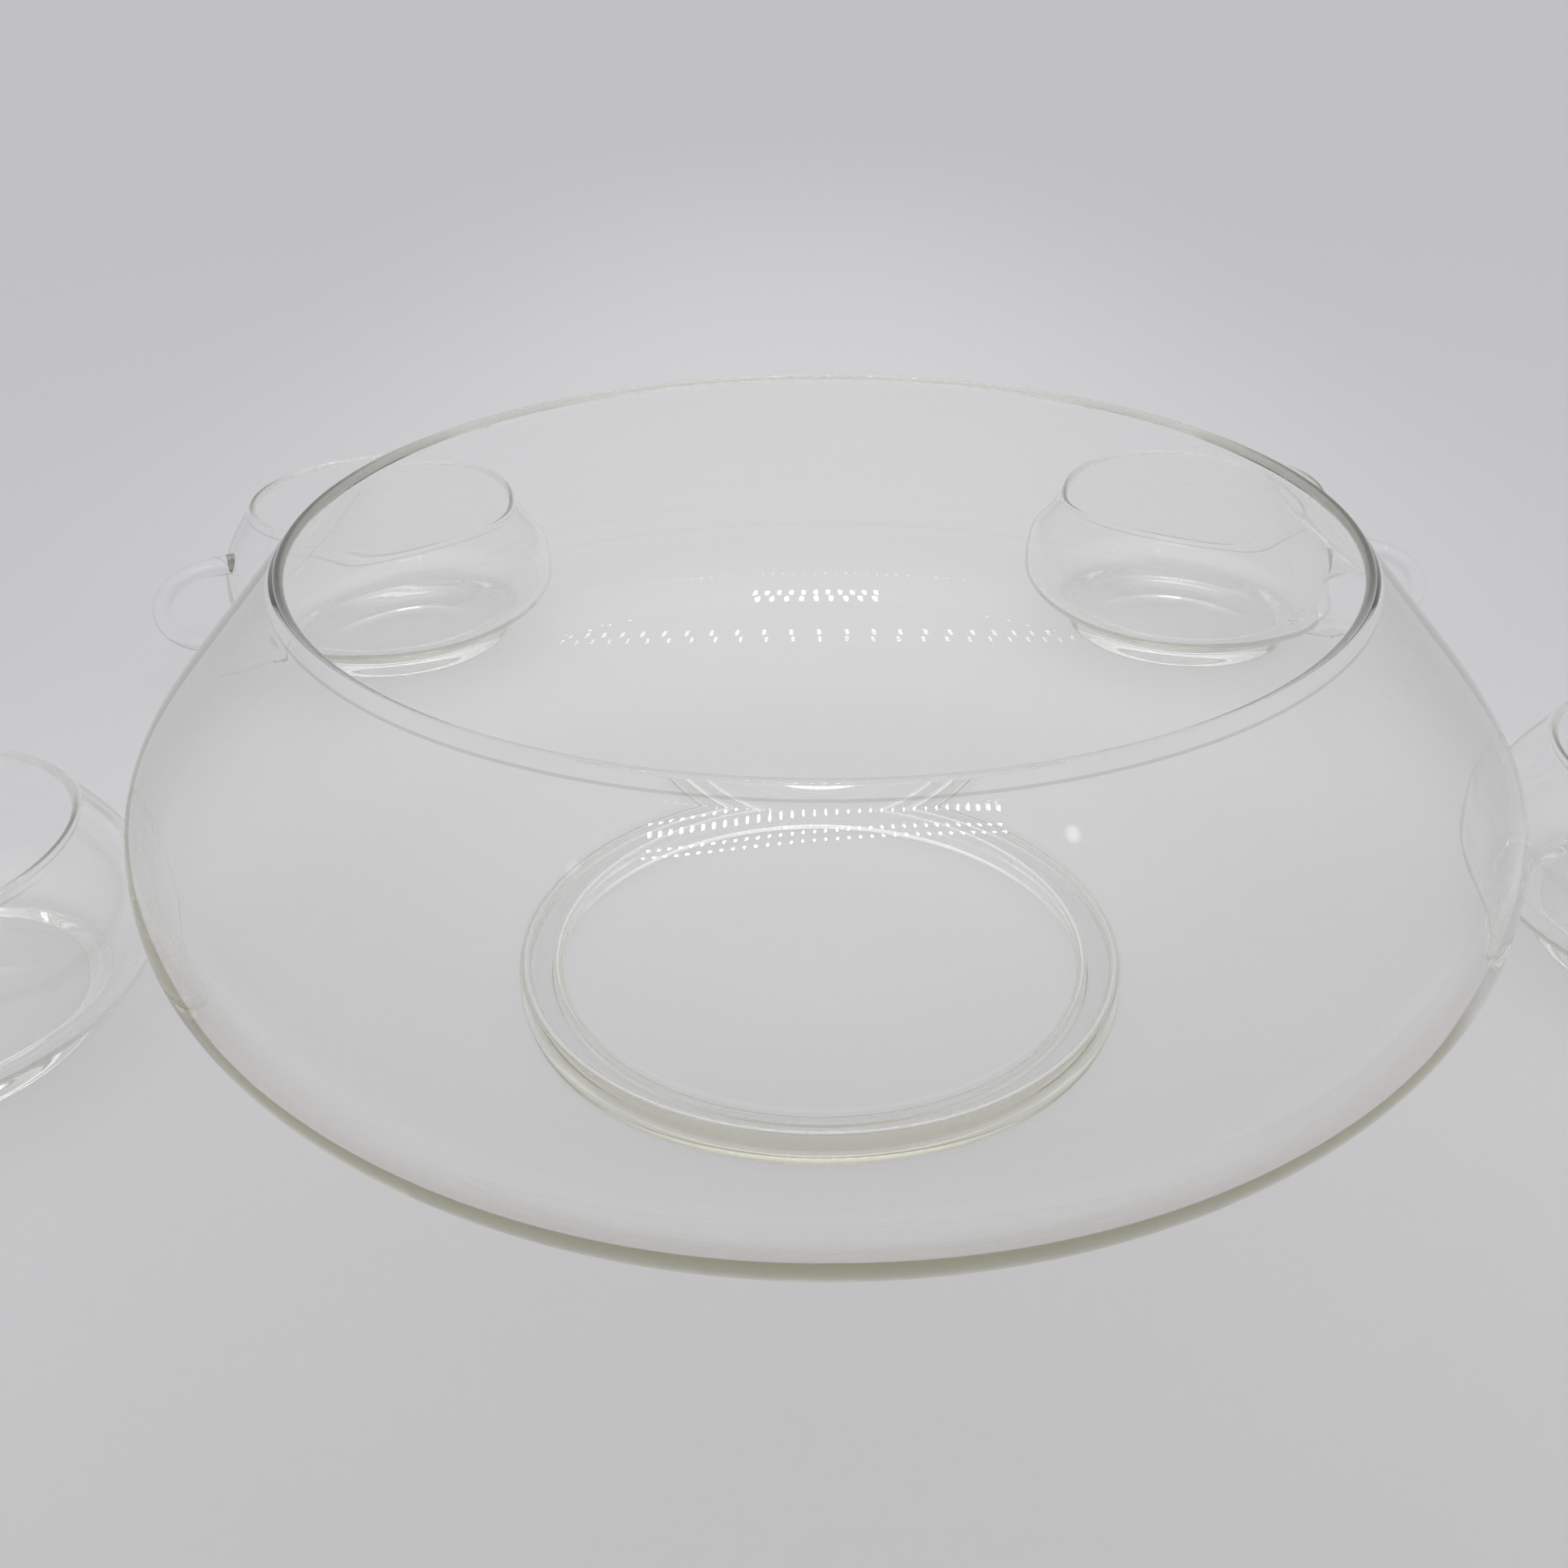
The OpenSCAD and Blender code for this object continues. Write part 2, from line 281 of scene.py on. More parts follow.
bowl_outline = joined(
    [under_points + [ring_inner_top],
     [ring_inner_top, ring_inner_foot],
     [ring_inner_foot, ring_outer_foot],
     [ring_outer_foot, foot_point],
     outer_side([belly, bowl_shoulder])],
    [RING_INNER_FILLET, RING_EDGE, RING_EDGE, RING_OUTER_FILLET])
bowl_outline += lip(BOWL_RIM_R, BOWL_TOP, BOWL_WALL, BOWL_RIM_SLOPE)[1:-1]
bowl_outline += inner_side(bowl_curves, BOWL_WALL)[::-1]
bowl_outline[-1].x = 0

# ---- Cup outline

base_point = Vector((BASE_TOP_R, BASE_TOP))
cup_belly = [base_point,
             base_point + polar(CUP_BELLY_PULLS[0] * (CUP_GIRTH_R - BASE_TOP_R), CUP_BELLY_SLOPE),
             Vector((CUP_GIRTH_R, CUP_GIRTH_H - CUP_BELLY_PULLS[1] * (CUP_GIRTH_H - BASE_TOP))),
             Vector((CUP_GIRTH_R, CUP_GIRTH_H))]
cup_shoulder = shoulder(CUP_GIRTH_R, CUP_GIRTH_H, CUP_RIM_R, CUP_TOP, CUP_WALL,
                        CUP_RIM_SLOPE, CUP_SHOULDER_PULLS)
cup_curves = [cup_belly, cup_shoulder]
cup_inner = inner_side(cup_curves, CUP_WALL)
floor_edge = cup_inner[0]
cup_floor = [Vector((0, FLOOR_H)),
             Vector((FLOOR_PULL * floor_edge.x, FLOOR_H)),
             floor_edge - polar(FLOOR_PULL * floor_edge.x, CUP_BELLY_SLOPE),
             floor_edge]
band_r = BASE_R - BASE_EDGE - BASE_BAND
hollow = [Vector((0, BASE_HOLLOW)),
          Vector((HOLLOW_PULLS[0] * band_r, BASE_HOLLOW)),
          Vector((HOLLOW_PULLS[1] * band_r, 0)),
          Vector((band_r, 0))]
cup_outline = joined(
    [outer_side([hollow]) + [Vector((BASE_R, 0))],
     [Vector((BASE_R, 0)), base_point],
     outer_side(cup_curves)],
    [BASE_EDGE, BASE_FILLET])
cup_outline += lip(CUP_RIM_R, CUP_TOP, CUP_WALL, CUP_RIM_SLOPE)[1:-1]
cup_outline += cup_inner[::-1]
cup_outline += [along(cup_floor, t) for t in shares(CURVE_STEPS)[:-1]][::-1]

# ---- Handle


def cup_r_at(height):
    """How far out the cup's outside is at that height."""
    points = outer_side(cup_curves)
    for a, b in zip(points, points[1:]):
        if a.y <= height <= b.y:
            return a.lerp(b, (height - a.y) / (b.y - a.y)).x
    return CUP_GIRTH_R


handle_mid_h = (HANDLE_TOP + HANDLE_FOOT) / 2
handle_half_h = (HANDLE_TOP - HANDLE_FOOT) / 2
handle_top_r = cup_r_at(HANDLE_TOP) - CUP_WALL - ROD_IN_WALL
handle_foot_r = cup_r_at(HANDLE_FOOT) - CUP_WALL - ROD_IN_WALL
upper_bend_r = handle_top_r + UPPER_ARM_PULLS[0] * (HANDLE_OUT - handle_top_r)
lower_bend_r = handle_foot_r + LOWER_ARM_PULLS[1] * (HANDLE_OUT - handle_foot_r)
upper_arm = [Vector((handle_top_r, HANDLE_TOP)),
             Vector((upper_bend_r, HANDLE_TOP + UPPER_ARM_RISE)),
             Vector((HANDLE_OUT, handle_mid_h + UPPER_ARM_PULLS[1] * handle_half_h)),
             Vector((HANDLE_OUT, handle_mid_h))]
lower_arm = [Vector((HANDLE_OUT, handle_mid_h)),
             Vector((HANDLE_OUT, handle_mid_h - LOWER_ARM_PULLS[0] * handle_half_h)),
             Vector((lower_bend_r, HANDLE_FOOT - LOWER_ARM_DROP)),
             Vector((handle_foot_r, HANDLE_FOOT))]


def rod_place(s):
    """Where the rod's ring sits at share s of its length: its size, tilt and centre. The rod
    swells towards its two ends."""
    arm, t = (upper_arm, 2 * s) if s < 0.5 else (lower_arm, 2 * s - 1)
    centre, way = along(arm, t), heading(arm, t)
    swell = 1 + ROD_SWELL * abs(2 * s - 1) ** 6
    u = Vector((way.y, 0, -way.x)) * (swell * ROD_T / 2)
    v = Vector((0, 1, 0)) * (swell * ROD_W / 2)
    w = Vector((way.x, 0, way.y)) * MM
    place = Matrix((u, v, w)).transposed().to_4x4()
    place.translation = (centre.x, 0, centre.y)
    return place


def handle_rod():
    bm = bmesh.new()
    place = rod_place(0)
    bmesh.ops.create_circle(bm, cap_ends=True, segments=ROD_SIDES, radius=1, matrix=place)
    edges = bm.edges[:]
    for s in shares(ROD_STEPS)[1:]:
        made = bmesh.ops.extrude_edge_only(bm, edges=edges)["geom"]
        ring = [g for g in made if isinstance(g, bmesh.types.BMVert)]
        edges = [g for g in made if isinstance(g, bmesh.types.BMEdge)]
        following = rod_place(s)
        bmesh.ops.transform(bm, matrix=following @ place.inverted(), verts=ring)
        place = following
    bmesh.ops.contextual_create(bm, geom=edges)
    bmesh.ops.recalc_face_normals(bm, faces=bm.faces[:])
    return to_object("handle_rod", bm)


# ---- Glass

CLEAR_TINT = (1, 1, 0.995)
# Painted shade on the lip: dark on its top at the left and right, lighter at its front edges
LIP_SIDE_SHADE = (0.22, 0.25, 0.18)
LIP_FRONT_SHADE = (0.66, 0.67, 0.64)
# Each: the thick foot's own tint with painted shade, painted shade on the glass near the outline,
# and painted shade on the outline
BOWL_TINTS_AND_SHADES = ((0.76, 0.755, 0.63), (0.76, 0.755, 0.70), (0.20, 0.20, 0.09))
CUP_TINTS_AND_SHADES = ((0.97, 0.965, 0.94), (0.96, 0.96, 0.95), (0.5, 0.5, 0.40))
BOWL_WAVE = 0.01 * MM
CUP_WAVE = 0.07 * MM
GLASS_IOR = 1.5
GLASS_STAIN = (0.94, 0.95, 0.91, 1)
GLASS_STAIN_DENSITY = 3
MOST_HAZE = 0.03
# How much light the glass lets down to the table where it is seen edge on
EDGE_ON_SHADE = (0.75, 0.76, 0.75)
# The painted shade along the outline: its band's limit, and how much higher that is for glass that
# looks up or aside
OUTLINE_LIMIT = 0.64
OUTLINE_LIMIT_UP = 0.2
OUTLINE_LIMIT_ASIDE = 0.14
OUTLINE_EDGE = (-0.012, 0.012)
NEAR_OUTLINE_EDGE = (-0.35, -0.05)
# The painted outline shade is fainter at the right
FAINT_FROM, FAINT_FULL, FAINT_SHARE = 0.70, 0.78, 0.6
# The foot's tint, partly the thick glass's own colour and partly painted shade: how far inside the
# # ring it starts, how soft its edges are, how steep the glass has to be, and where it fades out
# to
# # the back, in shares of its inner radius
FOOT_TINT_AND_SHADE_INSIDE = 2 * MM
FOOT_EDGE_OUT = 1 * MM
FOOT_EDGE_UP = 2 * MM
UPRIGHT_LIMIT = 0.6
RING_FADE = (-0.1, 0.4)
# The painted lip shade: depth under the top and place within the rim in walls, the rest in rim
# radii
LIP_DEPTH = 1.1
LIP_TOP_FROM = (0.2, 0.4)
LIP_TOP_TO = (0.65, 0.85)
LIP_SIDES = (0.84, 0.98)
LIP_FRONT = (0.2, 0.6)
INNER_EDGE_WITHIN, INNER_EDGE_DEPTH = 0.82, 0.6
LOW_EDGE_WITHIN, LOW_EDGE_DEPTH = 0.3, 0.92
# Noise, in waves to a metre
WAVE_SCALE = 26
SMEAR_SCALE = 60
SMEAR_EDGE = (0.5, 0.8)
SMOOTH_UP_TO = math.radians(50)


def feed(tree, socket, value):
    """Puts a number or colour, or another step's result, into a socket."""
    if isinstance(value, bpy.types.NodeSocket):
        tree.links.new(value, socket)
    else:
        socket.default_value = value


def math_step(tree, operation, a, b=0.0):
    """One sum on the way to a tone; its parts are numbers or sockets."""
    step = tree.nodes.new("ShaderNodeMath")
    step.operation = operation
    feed(tree, step.inputs[0], a)
    feed(tree, step.inputs[1], b)
    return step.outputs[0]


def product(tree, value, *others):
    for other in others:
        value = math_step(tree, "MULTIPLY", value, other)
    return value


def squares_sum(tree, a, b):
    return math_step(tree, "ADD", product(tree, a, a), product(tree, b, b))


def one_minus(tree, share):
    return math_step(tree, "SUBTRACT", 1.0, share)


def vector_step(tree, operation, a, b=(0, 0, 0)):
    step = tree.nodes.new("ShaderNodeVectorMath")
    step.operation = operation
    feed(tree, step.inputs[0], a)
    feed(tree, step.inputs[1], b)
    return step.outputs["Value" if operation in ("LENGTH", "DOT_PRODUCT") else "Vector"]


def parts_of(tree, vector):
    """The X, Y and Z of a vector."""
    split = tree.nodes.new("ShaderNodeSeparateXYZ")
    tree.links.new(vector, split.inputs[0])
    return split.outputs


def share_between(tree, value, low, high):
    """0 below low, 1 above high, and a soft step between."""
    step = tree.nodes.new("ShaderNodeMapRange")
    step.interpolation_type = "SMOOTHSTEP"
    step.inputs["From Min"].default_value = low
    step.inputs["From Max"].default_value = high
    tree.links.new(value, step.inputs["Value"])
    return step.outputs["Result"]


def blend(tree, share, a, b):
    """Colour a where the share is 0, and colour b where it is 1."""
    mix = tree.nodes.new("ShaderNodeMix")
    mix.data_type = "RGBA"
    feed(tree, mix.inputs[0], share)
    for socket, colour in ((mix.inputs[6], a), (mix.inputs[7], b)):
        feed(tree, socket, (*colour, 1) if isinstance(colour, tuple) else colour)
    return mix.outputs[2]


def noise(tree, where, scale, **settings):
    pattern = tree.nodes.new("ShaderNodeTexNoise")
    pattern.inputs["Scale"].default_value = scale
    for socket, value in settings.items():
        pattern.inputs[socket].default_value = value
    tree.links.new(where, pattern.inputs["Vector"])
    return pattern.outputs["Fac"]


def foot_colour_and_shade_share(tree, where, from_axis, reach, height):
    """1 on the upright sides of the thick glass at the foot, out beyond reach and below height:
    where the foot gets its own tint and painted shade. On a foot ring it fades out towards the
    back."""
    out = vector_step(tree, "LENGTH", from_axis)
    beyond = share_between(tree, out, reach - FOOT_EDGE_OUT, reach + FOOT_EDGE_OUT)
    up = parts_of(tree, where)["Z"]
    below = one_minus(tree, share_between(tree, up, height - FOOT_EDGE_UP, height))
    normal = tree.nodes.new("ShaderNodeNewGeometry").outputs["Normal"]
    level = math_step(tree, "ABSOLUTE", parts_of(tree, normal)["Z"])
    upright = math_step(tree, "LESS_THAN", level, UPRIGHT_LIMIT)
    foot_sides = product(tree, beyond, below, upright)
    if reach == 0:
        return foot_sides
    fade_from, fade_to = [share * reach for share in RING_FADE]
    back = share_between(tree, parts_of(tree, from_axis)["Y"], fade_from, fade_to)
    return product(tree, foot_sides, one_minus(tree, back))


def outline_shade_shares(tree, from_axis):
    """Shares for painted shade. 1 where the outside of the glass is seen side on, as at its
    outline, in a band that is wider where the glass looks down and fainter at the right; and a
    faint share that reaches further in."""
    facing = tree.nodes.new("ShaderNodeLayerWeight")
    facing.inputs["Blend"].default_value = 0.5
    surface = tree.nodes.new("ShaderNodeNewGeometry").outputs
    normal = parts_of(tree, surface["Normal"])
    upward = product(tree, normal["Z"], OUTLINE_LIMIT_UP)
    aside = product(tree, math_step(tree, "ABSOLUTE", normal["X"]), OUTLINE_LIMIT_ASIDE)
    limit = math_step(tree, "ADD", math_step(tree, "ADD", OUTLINE_LIMIT, upward), aside)
    over = math_step(tree, "SUBTRACT", facing.outputs["Facing"], limit)
    away = vector_step(tree, "DOT_PRODUCT", surface["Normal"], from_axis)
    outward = math_step(tree, "GREATER_THAN", away, 0.0)
    from_outside = math_step(tree, "SUBTRACT", outward, surface["Backfacing"])
    right = share_between(tree, normal["X"], FAINT_FROM, FAINT_FULL)
    kept = product(tree, one_minus(tree, product(tree, right, FAINT_SHARE)),
                   math_step(tree, "MAXIMUM", from_outside, 0.0))
    return [product(tree, kept, share_between(tree, over, low, high))
            for low, high in (OUTLINE_EDGE, NEAR_OUTLINE_EDGE)]


def lip_shade_shares(tree, where, from_axis, rim_r, top, wall):
    """1 all over the lip; the top of the lip at the left and right, where it is looked at along
    the wall; and the lip's two edges at the front. The last two get painted shade."""
    place = parts_of(tree, from_axis)
    under_top = math_step(tree, "SUBTRACT", top, parts_of(tree, where)["Z"])
    inside_rim = math_step(tree, "SUBTRACT", rim_r, vector_step(tree, "LENGTH", from_axis))
    depth = math_step(tree, "DIVIDE", under_top, wall)
    within = math_step(tree, "DIVIDE", inside_rim, wall)
    aside = math_step(tree, "DIVIDE", math_step(tree, "ABSOLUTE", place["X"]), rim_r)
    towards_front = math_step(tree, "DIVIDE", place["Y"], -rim_r)
    whole_lip = math_step(tree, "LESS_THAN", depth, LIP_DEPTH)
    top_band = product(tree, share_between(tree, within, *LIP_TOP_FROM),
                       one_minus(tree, share_between(tree, within, *LIP_TOP_TO)))
    sides = product(tree, top_band, share_between(tree, aside, *LIP_SIDES), whole_lip)
    inner_edge = product(tree, math_step(tree, "GREATER_THAN", within, INNER_EDGE_WITHIN),
                         math_step(tree, "LESS_THAN", depth, INNER_EDGE_DEPTH))
    low_edge = product(tree, math_step(tree, "LESS_THAN", within, LOW_EDGE_WITHIN),
                       math_step(tree, "GREATER_THAN", depth, LOW_EDGE_DEPTH))
    front = product(tree, math_step(tree, "MAXIMUM", inner_edge, low_edge),
                    share_between(tree, towards_front, *LIP_FRONT), whole_lip)
    return whole_lip, sides, front


def glass(name, middle, foot, lip_sizes, tints_and_shades, wave):
    """Clear glass with painted shade where it is seen edge on at its outline and over its lip, and
    darker through its thick foot, partly its own colour and partly painted shade; slowly waved
    by the mould and a little hazed by use."""
    foot_tint_and_shade, shade_near_outline, shade_at_outline = tints_and_shades
    material = bpy.data.materials.new(name)
    material.use_nodes = True
    tree = material.node_tree
    nodes, links = tree.nodes, tree.links
    nodes.clear()
    out = nodes.new("ShaderNodeOutputMaterial")
    body = nodes.new("ShaderNodeBsdfPrincipled")
    body.inputs["Transmission Weight"].default_value = 1
    body.inputs["IOR"].default_value = GLASS_IOR
    where = nodes.new("ShaderNodeTexCoord").outputs["Object"]
    from_axis = vector_step(tree, "SUBTRACT", where, (middle.x, middle.y, 0))
    from_axis = vector_step(tree, "MULTIPLY", from_axis, (1, 1, 0))

    whole_lip, lip_sides, lip_front = lip_shade_shares(tree, where, from_axis, *lip_sizes)
    below_lip = one_minus(tree, whole_lip)
    outline, near_outline = [product(tree, share, below_lip)
                             for share in outline_shade_shares(tree, from_axis)]
    # The base colour paints shade into the clear tint: along the outline, over the lip and, with
    # the thick glass's own colour, at the foot
    tint_and_painted_shade = CLEAR_TINT
    for share, tint in ((foot_colour_and_shade_share(tree, where, from_axis, *foot), foot_tint_and_shade),
                        (near_outline, shade_near_outline), (outline, shade_at_outline),
                        (lip_front, LIP_FRONT_SHADE), (lip_sides, LIP_SIDE_SHADE)):
        tint_and_painted_shade = blend(tree, share, tint_and_painted_shade, tint)
    links.new(tint_and_painted_shade, body.inputs["Base Color"])

    bump = nodes.new("ShaderNodeBump")
    bump.inputs["Strength"].default_value = 1
    bump.inputs["Distance"].default_value = wave
    links.new(noise(tree, where, WAVE_SCALE, Detail=1.5), bump.inputs["Height"])
    links.new(bump.outputs["Normal"], body.inputs["Normal"])
    smears = noise(tree, where, SMEAR_SCALE, Detail=6, Roughness=0.65)
    smears = share_between(tree, smears, *SMEAR_EDGE)
    links.new(product(tree, smears, MOST_HAZE), body.inputs["Roughness"])

    # Lamps and the table's own light pass through the glass, less so where it is seen edge on
    edge_on = nodes.new("ShaderNodeLayerWeight")
    edge_on.inputs["Blend"].default_value = 0.25
    clear = nodes.new("ShaderNodeBsdfTransparent")
    links.new(blend(tree, edge_on.outputs["Facing"], (1, 1, 1), EDGE_ON_SHADE),
              clear.inputs["Color"])
    path = nodes.new("ShaderNodeLightPath").outputs
    surface = body.outputs[0]
    for light in ("Is Shadow Ray", "Is Diffuse Ray"):
        mix = nodes.new("ShaderNodeMixShader")
        links.new(path[light], mix.inputs[0])
        links.new(surface, mix.inputs[1])
        links.new(clear.outputs[0], mix.inputs[2])
        surface = mix.outputs[0]
    links.new(surface, out.inputs["Surface"])
    stain = nodes.new("ShaderNodeVolumeAbsorption")
    stain.inputs["Color"].default_value = GLASS_STAIN
    stain.inputs["Density"].default_value = GLASS_STAIN_DENSITY
    links.new(stain.outputs[0], out.inputs["Volume"])
    return material


def finished(piece, material, slot, body, *stands_for):
    piece.data.shade_smooth()
    piece.data.set_sharp_from_angle(angle=SMOOTH_UP_TO)
    piece.data.materials.clear()
    piece.data.materials.append(material)
    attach(piece, body)
    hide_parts(*stands_for)


bowl_glass = glass("bowl_glass", BOWL_MIDDLE, (ring_inner_r - FOOT_TINT_AND_SHADE_INSIDE, RING_TOP),
                   (BOWL_RIM_R, BOWL_TOP, BOWL_WALL), BOWL_TINTS_AND_SHADES, BOWL_WAVE)
bowl = turned_glass("bowl", bowl_outline, BOWL_TURNS)
bowl.data.transform(Matrix.Translation((BOWL_MIDDLE.x, BOWL_MIDDLE.y, 0)))
finished(bowl, bowl_glass, "bowl_glass", "bowl", "bowl_shell", "bowl_foot_ring")

one_cup = turned_glass("one_cup", cup_outline, CUP_TURNS)
# The handle's ends stop in the middle of the cup's wall
wall_middle = inner_side(cup_curves, CUP_WALL / 2)
lump = turned_glass("lump", [Vector((0, wall_middle[0].y))] + wall_middle
                    + [Vector((0, wall_middle[-1].y))], CUP_TURNS)
rod = cut_or_fused(handle_rod(), lump, "DIFFERENCE")
one_cup = cut_or_fused(one_cup, rod, "UNION")
for name in CUPS:
    low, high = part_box(name + "_cup")
    middle = (low + high) / 2
    cup = bpy.data.objects.new(name + "_glass_cup", one_cup.data.copy())
    bpy.context.scene.collection.objects.link(cup)
    cup.data.transform(Matrix.Translation((middle.x, middle.y, 0))
                       @ Matrix.Rotation(math.radians(HANDLE_TURN[name]), 4, "Z"))
    cup_glass = glass(name + "_cup_glass", middle, (0, BASE_TOP),
                      (CUP_RIM_R, CUP_TOP, CUP_WALL), CUP_TINTS_AND_SHADES, CUP_WAVE)
    finished(cup, cup_glass, "cup_glass", name + "_cup", name + "_cup", name + "_handle")
bpy.data.objects.remove(one_cup)

# ---- Table

TABLE_R = 14
TABLE_SIDES = 128
TABLE_DROP = 0.2 * MM
GRAIN_SCALE = 400
PAPER_GRAIN = ((0.632, 0.622, 0.630), (0.652, 0.642, 0.650))
# Painted shade on the paper: darker in front of the bowl, beside it towards the back and far off
PAPER_SHADE_IN_FRONT = (0.525, 0.515, 0.52)
PAPER_SHADE_BESIDE = (0.555, 0.55, 0.57)
PAPER_SHADE_FAR_OFF = (0.56, 0.555, 0.58)
# Where one painted shade of the paper passes into the next, in metres from the middle
FRONT_TO_BACK = (-0.30, 0.0)
OUT_TO_SIDES = (0.02, 0.32)
SIDES_TO_BACK = (-0.15, 0.15)
NEAR_TO_FAR = (0.35, 1.3)

table = bmesh.new()
bmesh.ops.create_circle(table, cap_ends=True, segments=TABLE_SIDES, radius=TABLE_R)
bmesh.ops.translate(table, verts=table.verts[:], vec=(0, 0, -TABLE_DROP))
paper = to_object("paper", table)
paper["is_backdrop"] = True


def paper_grain_and_shade():
    """White paper with a fine grain, and painted shade that makes it a little darker in front,
    beside the bowl and far off.
    """
    material = bpy.data.materials.new("paper")
    material.use_nodes = True
    tree = material.node_tree
    body = tree.nodes["Principled BSDF"]
    body.inputs["Roughness"].default_value = 0.9
    body.inputs["Specular IOR Level"].default_value = 0.2
    where = tree.nodes.new("ShaderNodeTexCoord").outputs["Object"]
    place = parts_of(tree, where)
    tone = blend(tree, noise(tree, where, GRAIN_SCALE), *PAPER_GRAIN)
    tone = blend(tree, share_between(tree, place["Y"], *FRONT_TO_BACK), PAPER_SHADE_IN_FRONT, tone)
    beside = share_between(tree, math_step(tree, "ABSOLUTE", place["X"]), *OUT_TO_SIDES)
    behind = share_between(tree, place["Y"], *SIDES_TO_BACK)
    tone = blend(tree, product(tree, beside, behind), tone, PAPER_SHADE_BESIDE)
    far_off = share_between(tree, vector_step(tree, "LENGTH", where), *NEAR_TO_FAR)
    tree.links.new(blend(tree, far_off, tone, PAPER_SHADE_FAR_OFF), body.inputs["Base Color"])
    return material


paper.data.materials.append(paper_grain_and_shade())

# ---- Room: pale walls and a ceiling with rows of small lights and two soft round ones

WALL_LOW = (0.533, 0.527, 0.55)
WALL_HIGH = (0.57, 0.57, 0.585)
CEILING = (1.05, 1.05, 1.05)
# How far up the walls and the ceiling change tone
WALL_RISE = (0.0, 0.5)
CEILING_RISE = (0.45, 1.0)
ROOM_LIGHT = (0.93, 0.93, 0.94)
SOFT_LIGHT = (3, 3, 3)
SMALL_LIGHT = (20, 20, 20)
# As shares of the ceiling's height: depth (more negative towards the front), half width, spacing,
# half a light's width and depth, and how far the row's ends bend to the back
ROWS_OF_LIGHTS = (
    (-0.455, 0.17, 0.032, 0.006, 0.022, 0),
    (-0.375, 0.17, 0.036, 0.006, 0.022, 0),
    (-0.07, 0.56, 0.048, 0.0038, 0.012, 0),
    (-0.02, 0.56, 0.044, 0.003, 0.009, 0),
    (-0.809, 0.62, 0.037, 0.0045, 0.0010, 0.2),
    (-0.8145, 0.62, 0.038, 0.0045, 0.0009, 0.2),
    (-0.797, 0.60, 0.037, 0.004, 0.0025, 0.2),
    (-0.789, 0.60, 0.037, 0.0045, 0.0010, 0.2),
)
SOFT_SIDE, SOFT_DEPTH = 0.87, -0.668
SOFT_HALF_WIDTH, SOFT_HALF_DEPTH, SOFT_SLOPE = 0.037, 0.0095, 0.31
SOFT_EDGE = (0.1, 1.0)
SOFT_LIGHTS_ABOVE = 0.3
LEFT_SOFT_STRENGTH = 0.4

world = bpy.data.worlds.new("studio")
bpy.context.scene.world = world
world.use_nodes = True
studio = world.node_tree
x, y, z = parts_of(studio, studio.nodes.new("ShaderNodeTexCoord").outputs["Generated"])
across = math_step(studio, "DIVIDE", x, z)
away = math_step(studio, "DIVIDE", y, z)


def row_of_lights(depth, half_width, apart, half_dot, half_depth, bend):
    from_light = math_step(studio, "PINGPONG", across, apart / 2)
    beside = math_step(studio, "DIVIDE", from_light, half_dot)
    line = math_step(studio, "ADD", depth, product(studio, bend, product(studio, across, across)))
    off_line = math_step(studio, "DIVIDE", math_step(studio, "SUBTRACT", away, line), half_depth)
    on_light = math_step(studio, "LESS_THAN", squares_sum(studio, beside, off_line), 1.0)
    in_row = math_step(studio, "LESS_THAN", math_step(studio, "ABSOLUTE", across), half_width)
    return product(studio, on_light, in_row)


def soft_lights():
    """A soft round light to the right, and a fainter one to the left."""
    off_side = math_step(studio, "SUBTRACT", math_step(studio, "ABSOLUTE", across), SOFT_SIDE)
    off_depth = math_step(studio, "SUBTRACT", math_step(studio, "SUBTRACT", away, SOFT_DEPTH),
                          product(studio, off_side, SOFT_SLOPE))
    off = squares_sum(studio, math_step(studio, "DIVIDE", off_side, SOFT_HALF_WIDTH),
                      math_step(studio, "DIVIDE", off_depth, SOFT_HALF_DEPTH))
    glow = one_minus(studio, share_between(studio, off, *SOFT_EDGE))
    on_right = math_step(studio, "GREATER_THAN", x, 0.0)
    strength = math_step(studio, "ADD", LEFT_SOFT_STRENGTH,
                         product(studio, 1 - LEFT_SOFT_STRENGTH, on_right))
    return product(studio, glow, strength, math_step(studio, "GREATER_THAN", z, SOFT_LIGHTS_ABOVE))


small_lights = 0.0
for row in ROWS_OF_LIGHTS:
    small_lights = math_step(studio, "MAXIMUM", small_lights, row_of_lights(*row))
seen = blend(studio, share_between(studio, z, *WALL_RISE), WALL_LOW, WALL_HIGH)
seen = blend(studio, share_between(studio, z, *CEILING_RISE), seen, CEILING)
seen = blend(studio, soft_lights(), seen, SOFT_LIGHT)
seen = blend(studio, small_lights, seen, SMALL_LIGHT)
ray = studio.nodes.new("ShaderNodeLightPath").outputs
through_glass = math_step(studio, "MAXIMUM", ray["Is Glossy Ray"], ray["Is Transmission Ray"])
looked_at = math_step(studio, "MAXIMUM", ray["Is Camera Ray"], through_glass)
sky = studio.nodes["Background"]
sky.inputs["Strength"].default_value = 1
studio.links.new(blend(studio, looked_at, ROOM_LIGHT, seen), sky.inputs["Color"])

# ---- Softbox over the bowl, kept out of the glass


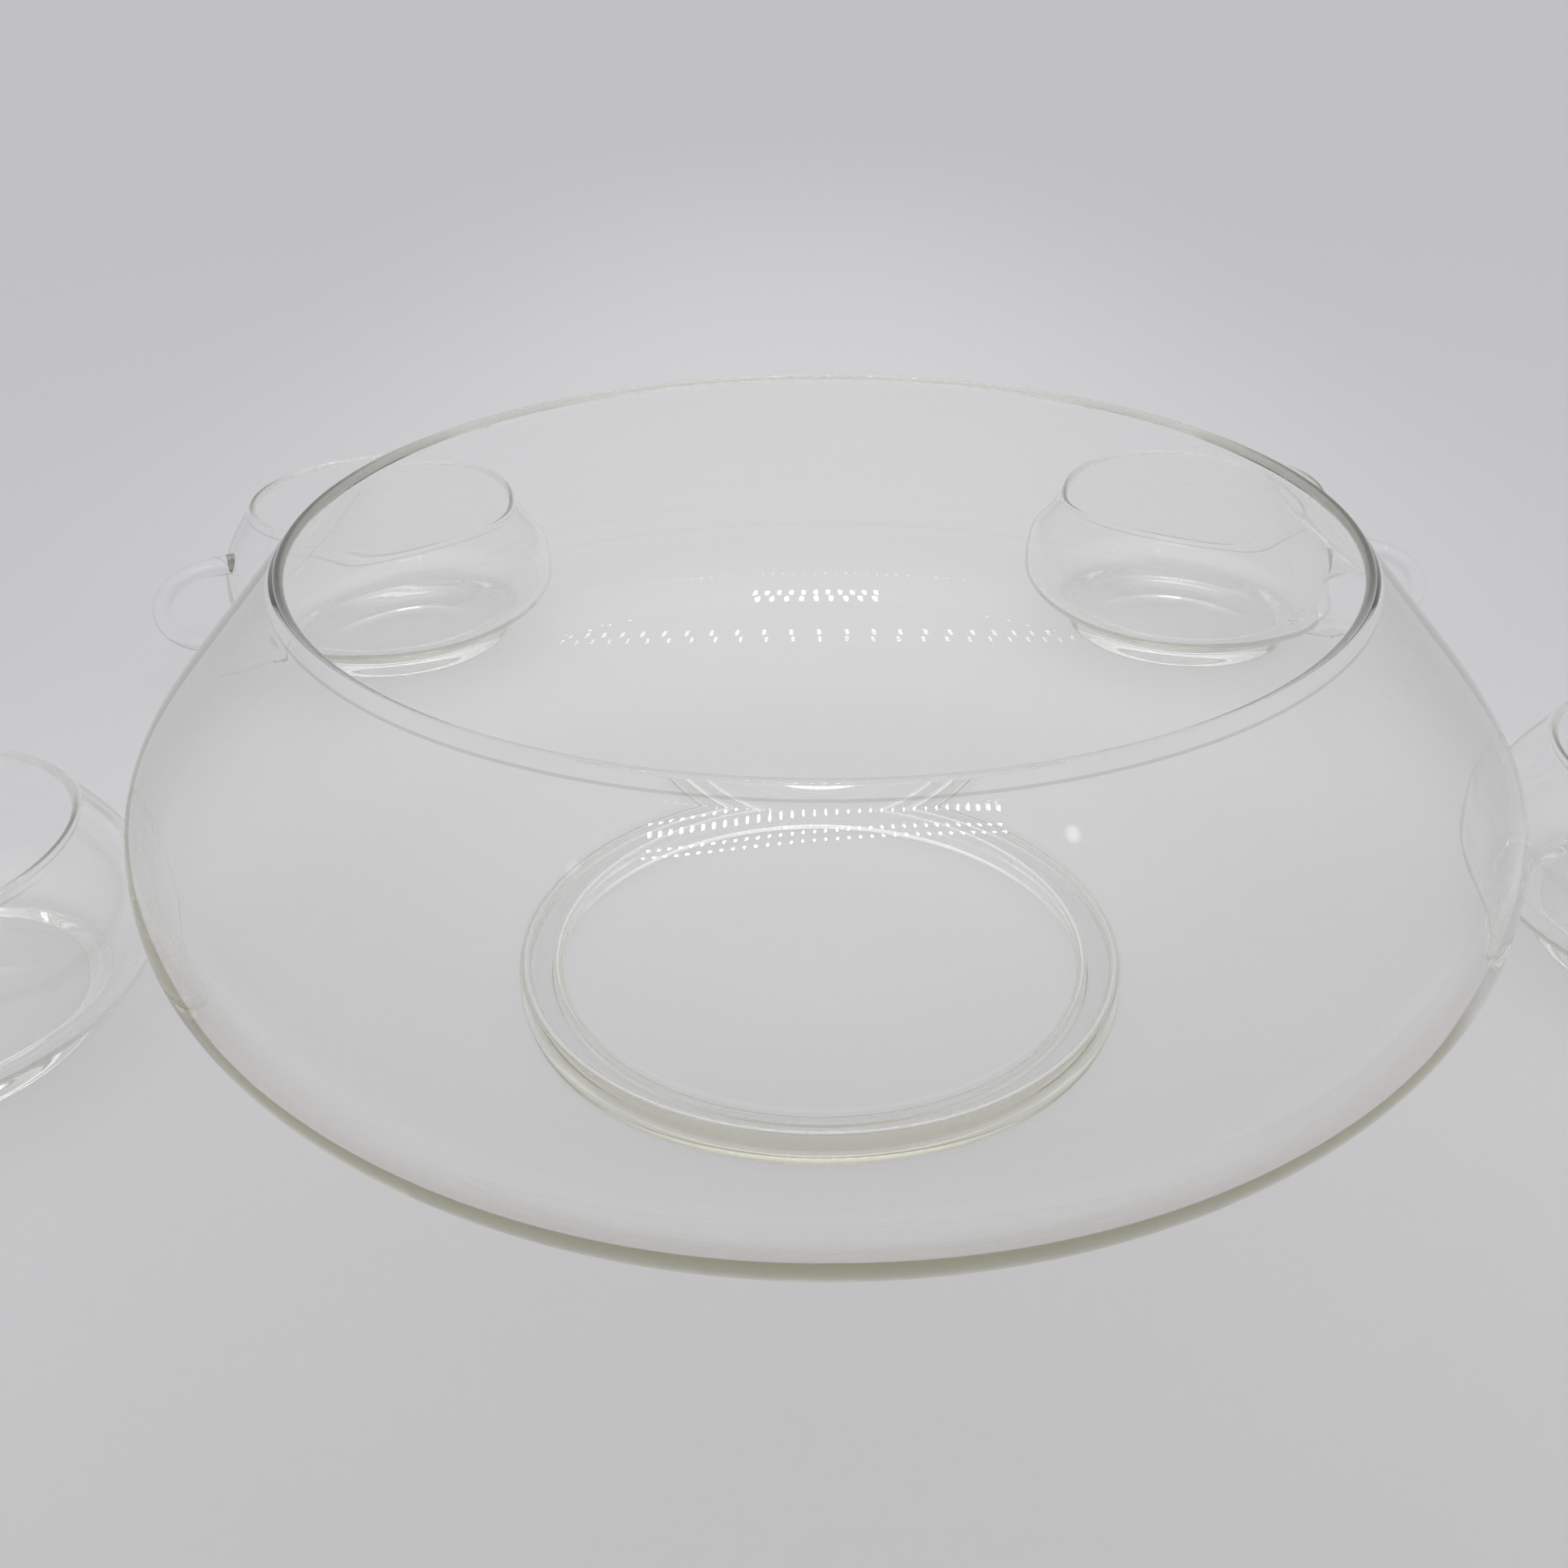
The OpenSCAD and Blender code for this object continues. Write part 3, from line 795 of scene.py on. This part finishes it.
def lamp(name, place, aim, size, power):
    data = bpy.data.lights.new(name, "AREA")
    data.shape = "RECTANGLE"
    data.size, data.size_y = size
    data.energy = power
    thing = bpy.data.objects.new(name, data)
    bpy.context.scene.collection.objects.link(thing)
    thing.location = place
    thing.rotation_mode = "QUATERNION"
    thing.rotation_quaternion = (Vector(aim) - Vector(place)).to_track_quat("-Z", "Y")
    return thing


softbox = lamp("softbox", place=(BOWL_MIDDLE.x, BOWL_MIDDLE.y + 0.2, 0.55),
               aim=(BOWL_MIDDLE.x, BOWL_MIDDLE.y + 0.15, 0), size=(0.3, 0.3), power=0.35)
softbox.visible_glossy = False
softbox.visible_transmission = False

# ---- Camera

CAMERA_LENS, CAMERA_WIDTH = 36.34, 36
CAMERA_PITCH, CAMERA_ROLL = math.radians(29.96), math.radians(-0.54)
# Its place from the bowl's axis, and its height over the table
CAMERA_SIDE, CAMERA_BACK, CAMERA_HEIGHT = -0.00719, -0.27709, 0.20727

camera = bpy.data.objects.new("camera", bpy.data.cameras.new("camera"))
bpy.context.scene.collection.objects.link(camera)
bpy.context.scene.camera = camera
camera.data.lens = CAMERA_LENS
camera.data.sensor_width = CAMERA_WIDTH
camera.data.clip_start = 0.01
camera.data.clip_end = 60
ahead = Vector((0, math.cos(CAMERA_PITCH), -math.sin(CAMERA_PITCH)))
level = Vector((1, 0, 0))
upright = level.cross(ahead)
right = math.cos(CAMERA_ROLL) * level + math.sin(CAMERA_ROLL) * upright
up = -math.sin(CAMERA_ROLL) * level + math.cos(CAMERA_ROLL) * upright
pose = Matrix((right, up, -ahead)).transposed().to_4x4()
pose.translation = (BOWL_MIDDLE.x + CAMERA_SIDE, BOWL_MIDDLE.y + CAMERA_BACK, CAMERA_HEIGHT)
camera.matrix_world = pose

# Light turned back many times inside the glass has to find its way out
GLASS_BOUNCES = 200
scene = bpy.context.scene
scene.view_settings.view_transform = "Standard"
scene.cycles.max_bounces = GLASS_BOUNCES
scene.cycles.transmission_bounces = GLASS_BOUNCES
scene.cycles.glossy_bounces = GLASS_BOUNCES
scene.cycles.diffuse_bounces = 3
scene.cycles.transparent_max_bounces = 24
scene.cycles.caustics_reflective = False
scene.cycles.caustics_refractive = False

low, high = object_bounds()
